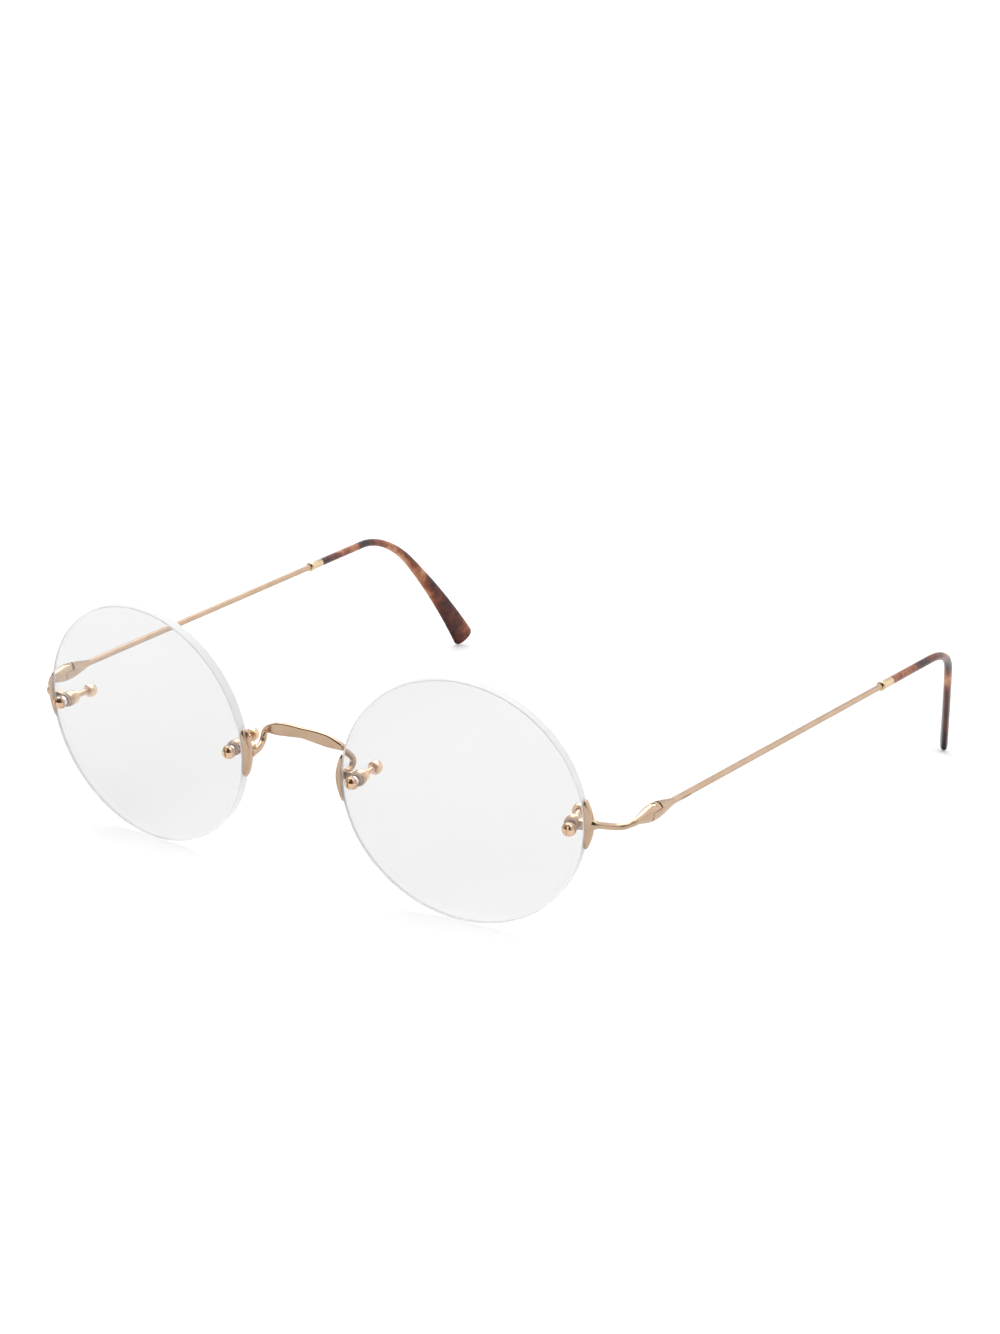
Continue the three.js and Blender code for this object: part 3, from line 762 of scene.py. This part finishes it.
def build_mount(side, place):
    """The six pieces that hold a lens at one of its holes."""
    where = LENS @ mount_frame(place)
    label = f"{place}_{side}"
    back = BACK_WASHER_TOP
    front_washer = ring_mesh(WASHER_RADIUS, GAP, GAP + WASHER_THICKNESS, RING_CORNER)
    sleeve = ring_mesh(SLEEVE_RADIUS, -LENS_THICKNESS + GAP, -GAP, 0.03)
    back_washer = ring_mesh(WASHER_RADIUS, back - WASHER_THICKNESS, back, RING_CORNER)
    parts = {
        "screw": (screw_mesh(), "lens_screw", "polished_gold", POLISHED),
        "washer_front": (front_washer, "front_washer", "clear_plastic", PLASTIC),
        "liner": (sleeve, "sleeve", "clear_plastic", PLASTIC),
        "washer_back": (back_washer, "back_washer", "clear_plastic", PLASTIC),
        "nut": (nut_mesh(), "hex_nut", "polished_gold", POLISHED),
        "cap": (cap_mesh(), "cap_nut", "polished_gold", POLISHED),
    }
    for name, (mesh, node, slot, material) in parts.items():
        mesh.transform(where)
        piece(f"{name}_{label}", mesh, side, f"{node}_{label}", "front", slot, [material], 35)


# ---------------------------------------------------------------- bridge and end pieces

def edge_space():
    """What a lens takes up, with a gap around its edge, in the lens frame."""
    return mesh_of(rod(LENS_RADIUS + GAP, -LENS_THICKNESS - 0.1, 1, 360))


def plate_and_lug(place):
    """The meshes of an edge plate and the lug behind it, in the lens frame."""
    angle = PLACES[place]
    middle = LENS_RADIUS + GAP + PLATE_END_THICKNESS / 2
    half_angle = PLATE_LENGTH / 2 / LENS_RADIUS
    centre = math.cos(angle) * PLATE_RAISE[place] / LENS_RADIUS

    def at(t):
        return mix(centre - half_angle, centre + half_angle, t)

    def place_at(t):
        return Vector((middle * math.cos(at(t)), middle * math.sin(at(t)), -LENS_THICKNESS / 2))

    def heading(t):
        return Vector((-math.sin(at(t)), math.cos(at(t)), 0))

    def side(t):
        return Vector((math.cos(at(t)), math.sin(at(t)), 0))

    def section(t):
        rounding = math.sqrt(max(0.003, 1 - (2 * t - 1) ** 6))
        bulge = math.sin(math.pi * t) ** 2
        thick = mix(PLATE_END_THICKNESS, PLATE_THICKNESS, bulge)
        return thick * rounding, PLATE_HALF_WIDTH * rounding, PLATE_ROUNDNESS

    plate = mesh_of(sweep(place_at, heading, side, section, towards_ends(64), 48))
    plate = minus(plate, edge_space())
    plate.transform(turn(angle, "Z"))

    reach = LENS_RADIUS - HOLE_OFFSET + LUG_REACH
    neck = box((0, -LUG_HALF_WIDTH, LUG_BOTTOM), (reach, LUG_HALF_WIDTH, LUG_TOP))
    corner = box(
        (reach - LUG_CORNER_WIDTH, -LUG_HALF_WIDTH, LUG_BOTTOM),
        (reach, LUG_HALF_WIDTH, LUG_BOTTOM + LUG_CORNER_HEIGHT),
    )
    lug = union(mesh_of(rod(LUG_RADIUS, LUG_BOTTOM, LUG_TOP)), mesh_of(neck), mesh_of(corner))
    lug = minus(lug, mesh_of(rod(BORE_RADIUS + GAP, LUG_BOTTOM - 1, LUG_TOP + 0.6)))
    lug.transform(mount_frame(place))
    meshes = [plate, lug]
    for mesh in meshes:
        mesh.transform(LENS)
    return meshes


def bridge_bar():
    """The left half of the crest band and its arm, down to the plate."""
    place, heading, length = catmull([
        (-0.4, 1.15, 26.75), (0.4, 1.15, 26.75), (4, 1.25, 26.5), (7.2, 1.7, 25.85), (8.7, 2.9, 25),
        (9.35, 3.6, 23.9), (9.4, 3.3, 22.8), (9.2, 2.1, 22.05), (9.05, 0.8, 21.75), (9.3, -0.5, 21.6),
    ])
    up, across = Vector((0, -0.12, 1)), Vector((0.9, -0.3, 0.3))

    def section(t):
        run = t * length
        flat = 1 - smooth(run, BAND_HALF_SPAN - 2.6, BAND_HALF_SPAN + 1.4)
        waist = BAND_WAIST * math.exp(-((run / BAND_WAIST_REACH) ** 2))
        flare = ARM_FLARE * smooth(run, length - ARM_FLARE_LENGTH, length)
        wide = mix(WIRE_RADIUS, BAND_HALF_WIDTH - waist, flat)
        thick = mix(WIRE_RADIUS, BAND_HALF_THICKNESS, flat)
        return wide + flare, thick + flare, mix(OVAL, BAND_ROUNDNESS, flat)

    def side(t):
        return up.lerp(across, smooth(t * length, 7, 11))

    shell = sweep(place, heading, side, section, even(220), 48)
    made = mesh_of(moved(shell, SHIFT))
    space = edge_space()
    space.transform(LENS)
    return minus(made, space)


def build_bridge():
    """The crest band with its two arms, plates and lugs, in one skin."""
    half = [bridge_bar(), union(*plate_and_lug("nasal"))]
    other = [mesh.copy() for mesh in half]
    for mesh in other:
        mesh.transform(MIRROR)
        mesh.flip_normals()
    made = blended([*half, *other], BRIDGE_VOXEL, BLEND_PASSES)
    piece("bridge_metal", made, "left", "bridge", "front", "satin_gold", [SATIN], 0)


def spindle_section(y):
    """Half width and half height of the hinge body and wire at a place along the temple."""
    if y <= SPINDLE_FRONT or y >= SPINDLE_BACK:
        return WIRE_RADIUS, WIRE_RADIUS
    end = SPINDLE_FRONT if y < SPINDLE_PEAK else SPINDLE_BACK
    swell = math.cos(math.pi / 2 * (y - SPINDLE_PEAK) / (end - SPINDLE_PEAK)) ** SPINDLE_FULLNESS
    return mix(WIRE_RADIUS, SPINDLE_HALF_WIDTH, swell), mix(WIRE_RADIUS, SPINDLE_HALF_HEIGHT, swell)


def hinge_bar(start, end, step):
    """The uncut spindle and wire in the hinge frame, between two places along the temple."""
    count = max(2, int((end - start) / step))

    def place(t):
        return Vector((0, mix(start, end, t), 0))

    def section(t):
        wide, high = spindle_section(mix(start, end, t))
        return wide, high, OVAL

    shell = sweep(place, lambda t: Y, lambda t: X, section, even(count), 64)
    return mesh_of(moved(shell, IN_HINGE))


def upper_leaf_space(grow):
    """What the upper hinge leaf takes up, in the hinge frame: square outside and round inside."""
    back = SLIT_FRONT + grow
    slope = Matrix.Translation((0, back, SPINDLE_HALF_HEIGHT)) @ turn(SLIT_SLANT, "X")
    return union(
        mesh_of(box((0, back - 6, 0), (4, back, 4))),
        mesh_of(moved(box((0.002, -8, -8), (3.99, 0, 0)), slope)),
        mesh_of(rod(LEAF_RADIUS + grow, 0.001, 4.001, 96)),
        mesh_of(box((-4, -8, 0.002), (4.01, -0.01, 4.002))),
    )


def front_hinge():
    """The front half of the hinge: the nose of the spindle and the upper leaf."""
    whole = hinge_bar(SPINDLE_FRONT, 3, 0.1)
    above = mesh_of(box((-6, -5, LEAF_SPLIT + LEAF_GAP / 2), (6, 5, 6)))
    leaf = cut(cut(whole, above, "INTERSECT"), upper_leaf_space(0), "INTERSECT")
    ahead = cut(whole, mesh_of(box((-6, -12, -6), (6, -NOTCH_AHEAD_OF_PIN, 6))), "INTERSECT")
    made = union(ahead, leaf)
    made = minus(
        made,
        mesh_of(rod(PIN_RADIUS + PIN_CLEARANCE, 0, 3)),
        mesh_of(rod(PIN_HEAD_RADIUS + PIN_HEAD_CLEARANCE, PIN_HEAD_SEAT, 3)),
    )
    made.transform(HINGE)
    return made


def stem_bar():
    """The wire from the edge plate into the nose of the spindle."""
    place, heading, length = catmull([
        (54.2, 2.9, 22.5), (55.35, 3.2, 22.6), (56.62, 5.1, 22.2), (57.65, 6.5, 21.98),
        (58.55, 7.4, 22.1), (59.05, 8.25, 22.37), (59.42, 9.2, 22.65), (59.56, 10.2, 22.74),
    ])

    def section(t):
        run = t * length
        flare = 1 - smooth(run, 0, STEM_FLARE_LENGTH)
        nose = STEM_NOSE_GROWTH * smooth(run, length - STEM_NOSE_LENGTH, length - 1.3)
        radius = WIRE_RADIUS + nose - STEM_END_TAPER * smooth(run, length - 1, length)
        return radius + STEM_FLARE_HEIGHT * flare ** 2, radius + STEM_FLARE_WIDTH * flare, OVAL

    shell = sweep(place, heading, lambda t: Z, section, even(80), 48)
    space = edge_space()
    space.transform(LENS)
    return minus(mesh_of(moved(shell, SHIFT)), space)


def build_end_piece(side):
    whole = union(stem_bar(), *plate_and_lug("temporal"), front_hinge())
    made = blended([whole], END_PIECE_VOXEL, BLEND_PASSES)
    piece(f"end_metal_{side}", made, side, f"end_piece_{side}", "front", "satin_gold", [SATIN], 0)


def build_hinge_screw(side):
    foot = -SPINDLE_HALF_HEIGHT + PIN_SUNK
    seat = PIN_HEAD_SEAT + 0.03
    top = seat + PIN_HEAD_DEPTH
    body = lathe([
        (0, foot), (PIN_RADIUS - 0.06, foot), (PIN_RADIUS, foot + 0.06), (PIN_RADIUS, seat),
        (PIN_HEAD_RADIUS, seat), (PIN_HEAD_RADIUS, top - 0.12), (PIN_HEAD_RADIUS - 0.05, top - 0.03),
        (PIN_HEAD_RADIUS - 0.14, top), (0, top + 0.02),
    ], 64)
    half = PIN_SLOT_WIDTH / 2
    slot = box((-half, -2, top - PIN_SLOT_DEPTH), (half, 2, top + 1))
    made = minus(mesh_of(body), mesh_of(slot))
    made.transform(HINGE)
    node = f"hinge_screw_{side}"
    piece(f"hinge_pin_{side}", made, side, node, "front", "polished_gold", [POLISHED], 35)


# ---------------------------------------------------------------- temples

def build_temple(side):
    """The back half of the hinge, cut from the spindle, and the wire with its thinner core."""
    whole = hinge_bar(-3, 12, 0.1)
    under = LEAF_SPLIT - LEAF_GAP / 2
    lower = union(
        mesh_of(box((-6, 0, -6), (6, 30, under))),
        mesh_of(rod(LEAF_RADIUS, -4, under - 0.001, 96)),
        mesh_of(box((0.001, -LEAF_RADIUS, -4.001), (4, LEAF_RADIUS, under - 0.002))),
    )
    above = mesh_of(box((-6.01, 0.01, under - 0.025), (6.01, 30.01, 6)))
    behind = minus(above, upper_leaf_space(SLIT_GAP))
    made = cut(whole, union(lower, behind), "INTERSECT")
    made = minus(made, mesh_of(rod(PIN_RADIUS + PIN_CLEARANCE, -3, 2)))
    made = bevelled(made, 0.03, 45)
    step = FERRULE_FRONT - GAP
    straight = lathe([
        (0, 9), (WIRE_RADIUS, 9), (WIRE_RADIUS, step - 0.05), (WIRE_RADIUS - 0.05, step),
        (CORE_RADIUS, step), (CORE_RADIUS, CORE_END), (0, CORE_END),
    ], 64)
    wire = mesh_of(moved(moved(straight, turn(-math.pi / 2, "X")), IN_HINGE))
    made = union(made, wire)
    made.transform(HINGE)
    body = f"temple_arm_{side}"
    piece(f"temple_metal_{side}", made, side, f"temple_{side}", body, "satin_gold", [SATIN], 35)


def build_ferrule(side):
    """A tube over the thin core, with a bead at its front end."""
    inner, front, back = CORE_RADIUS + CORE_CLEARANCE, FERRULE_FRONT, FERRULE_BACK
    bead = FERRULE_RADIUS + FERRULE_BEAD
    corners = [
        (inner, front), (bead - 0.2, front), (bead - 0.04, front + 0.12), (bead, front + 0.28),
        (bead - 0.04, front + 0.45), (FERRULE_RADIUS - 0.05, front + 0.6),
        (FERRULE_RADIUS, front + 0.75), (FERRULE_RADIUS, back - 0.08), (FERRULE_RADIUS - 0.06, back),
        (inner, back),
    ]
    shell = lathe(rounded(corners, 0.04, 2), 64, closed=True)
    made = mesh_of(moved(moved(shell, turn(-math.pi / 2, "X")), TEMPLE))
    body = f"temple_arm_{side}"
    piece(f"ferrule_band_{side}", made, side, f"ferrule_{side}", body, "pale_gold", [PALE], 30)


def tip_heading(run):
    bend = clamp((run - TIP_STRAIGHT) / BEND_LENGTH)
    drop = max(0, (run - TIP_STRAIGHT - BEND_LENGTH) / DROP_LENGTH)
    down = -BEND_ANGLE * bend - DROP_CURL * drop
    inward = -BEND_INWARD * bend
    level = Vector((math.sin(inward), math.cos(inward), 0))
    return level * math.cos(down) + Z * math.sin(down)


def tip_points(steps=400):
    points = [Vector((0, FERRULE_BACK + GAP, 0))]
    for i in range(steps):
        points.append(points[-1] + tip_heading((i + 0.5) / steps * TIP_LENGTH) * (TIP_LENGTH / steps))
    return points


# Where the plastic of each tip is dark (-) or light (+): share of the length, reach, amount,
# and how much more of it on the upper side.
PATCHES = {
    "left": [
        (0.06, 0.09, 0.22, 0.0), (0.215, 0.04, -0.40, 0.05), (0.32, 0.05, 0.10, -0.1),
        (0.40, 0.04, 0.1, 0.1), (0.48, 0.06, -0.30, 0.0), (0.60, 0.05, 0.14, -0.30),
        (0.78, 0.12, -0.05, 0.1), (0.97, 0.08, -0.34, 0.0),
    ],
    "right": [
        (0.02, 0.05, -0.34, 0.1), (0.12, 0.04, 0.08, 0.1), (0.20, 0.04, 0.26, 0.0),
        (0.275, 0.03, -0.42, 0.0), (0.45, 0.05, 0.36, 0.0), (0.54, 0.07, 0.1, -0.40),
        (0.64, 0.03, 0.35, 0.1), (0.73, 0.08, 0.0, -0.34), (0.86, 0.08, -0.10, 0.1),
        (0.97, 0.05, 0.02, 0.2),
    ],
}


def paint_tones(mesh, side, stops):
    """Gives each point of a tip its tone, for the mottling. Point 0 is the middle of the front end."""
    tones = mesh.attributes.new("tone", "FLOAT", "POINT")
    for i, value in enumerate(tones.data):
        row, spoke = divmod(i - 1, TIP_SPOKES)
        t = stops[int(clamp(row, 0, len(stops) - 1))]
        upper = math.cos(2 * math.pi * spoke / TIP_SPOKES)
        tone = TIP_TONE
        for at, reach, amount, lean in PATCHES[side]:
            tone += (amount + lean * upper) * math.exp(-(((t - at) / reach) ** 2))
        value.value = tone


def build_tip(side):
    """A plastic tip: straight at first, then bent down and inward, widening into a paddle."""
    points = tip_points()
    steps = len(points) - 1

    def place(t):
        at = t * steps
        low = min(int(at), steps - 1)
        return points[low].lerp(points[low + 1], at - low)

    def section(t):
        spreading = max(0, (t - PADDLE_START) / (1 - PADDLE_START)) ** 1.35
        left = min(1, (1 - t) * TIP_LENGTH / PADDLE_CORNER)
        corner = PADDLE_CORNER * (1 - math.sqrt(max(0, 1 - (1 - left) ** 2)))
        wide = mix(TIP_RADIUS, PADDLE_HALF_WIDTH, spreading)
        thick = mix(TIP_RADIUS, PADDLE_HALF_THICKNESS, spreading)
        thinner = 1 - 0.3 * (corner / PADDLE_CORNER) ** 2
        return thick * thinner, wide - corner, mix(OVAL, PADDLE_ROUNDNESS, spreading)

    out, out_and_back = X, Vector((0.88, 0.47, 0))
    stops = [1 - (1 - t) ** 1.7 for t in even(170)]
    shell = sweep(
        place, lambda t: tip_heading(t * TIP_LENGTH),
        lambda t: out.lerp(out_and_back, smooth(t, 0.4, 0.8)), section, stops, TIP_SPOKES,
    )
    made = mesh_of(moved(shell, TEMPLE))
    paint_tones(made, side, stops)
    node, body = f"temple_tip_{side}", f"temple_arm_{side}"
    piece(f"tip_plastic_{side}", made, side, node, body, "tortoise", [TORTOISE], 60)


# ---------------------------------------------------------------- stage

def build_floor():
    """White paper, lifted to a clean white where it is seen directly."""
    far = FLOOR_HALF_WIDTH
    corners = [(-far, -far, 0), (far, -far, 0), (far, far, 0), (-far, far, 0)]
    mesh = mesh_of((corners, [(0, 1, 2, 3)]))
    mesh.transform(Matrix.Scale(MM, 4))
    n, spot = material_nodes("floor")
    tone = n.ramp(n.noise(spot, 40, 2), (0.3, grey(0.75)), (0.7, grey(0.76)))
    paper = n.add("BsdfPrincipled", {"Base Color": tone, "Roughness": 0.9, "Specular IOR Level": 0.1})
    glow = n.ranged(n.add("LightPath").outputs["Is Camera Ray"], 0.0, 0.26)
    lift = n.add("Emission", {"Color": WHITE, "Strength": glow})
    both = n.add("AddShader", {0: paper.outputs["BSDF"], 1: lift.outputs["Emission"]})
    mesh.materials.append(n.finish(both.outputs["Shader"]))
    floor = bpy.data.objects.new("floor", mesh)
    bpy.context.scene.collection.objects.link(floor)
    floor.location.z = -FLOOR_DROP * MM


# Round areas of the studio's sky: the direction of the middle, the cosines at which the area is
# at its full brightness and at which it has faded out, and that brightness.
SKY = [
    ((-0.45, 0.8, 0.25), 1.0, -0.5, 0.75),
    ((-0.35, 0.35, 0.87), 0.92, 0.80, 2.2),
    ((0.35, 0.1, 0.93), 0.98, 0.90, 1.4),
    ((0.9, 0.35, 0.3), 0.95, 0.3, 0.65),
]
SKY_REST = 0.06
WHITE_SEEN = 1.2


def build_world():
    """A white studio: even white to the camera, and soft bright and dark areas in reflections."""
    world = bpy.data.worlds.new("studio")
    bpy.context.scene.world = world
    n = Nodes(world, "OutputWorld")
    way = n.add("TexCoord").outputs["Generated"]
    total = SKY_REST
    for direction, full, none, amount in SKY:
        inputs = {0: way, 1: Vector(direction).normalized()}
        towards = n.add("VectorMath", inputs, operation="DOT_PRODUCT").outputs["Value"]
        area = n.ranged(towards, 0.0, amount, none, full, interpolation_type="SMOOTHSTEP")
        total = n.maths(total, area)
    light = n.add("Background", {"Color": WHITE, "Strength": total}).outputs["Background"]
    white = n.add("Background", {"Color": WHITE, "Strength": WHITE_SEEN}).outputs["Background"]
    n.finish(n.mixed(n.add("LightPath").outputs["Is Camera Ray"], light, white))


def build_lamp():
    """One very soft lamp from above, for faint shadows where the glasses touch the floor."""
    data = bpy.data.lights.new("soft_lamp", "SUN")
    data.energy = 0.4
    data.angle = math.radians(50)
    lamp = bpy.data.objects.new("soft_lamp", data)
    lamp.rotation_euler = (math.radians(-18), math.radians(-22), 0)
    bpy.context.scene.collection.objects.link(lamp)


def build_camera():
    data = bpy.data.cameras.new("camera")
    data.sensor_fit = "HORIZONTAL"
    data.sensor_width = SENSOR_WIDTH
    data.lens = FOCAL_LENGTH
    data.clip_start, data.clip_end = 0.01, 100
    camera = bpy.data.objects.new("camera", data)
    back = CAMERA_RIGHT.cross(CAMERA_UP)
    place = Matrix((CAMERA_RIGHT, CAMERA_UP, back)).transposed().to_4x4()
    place.translation = (SHIFT @ CAMERA_PLACE) * MM
    camera.matrix_world = place
    bpy.context.scene.collection.objects.link(camera)
    bpy.context.scene.camera = camera


# ---------------------------------------------------------------- everything

build_bridge()
for side in SIDES:
    build_lens(side)
    for place in PLACES:
        build_mount(side, place)
    build_end_piece(side)
    build_hinge_screw(side)
    build_temple(side)
    build_ferrule(side)
    build_tip(side)
build_floor()
build_world()
build_lamp()
build_camera()
bpy.context.scene.view_settings.view_transform = "Standard"
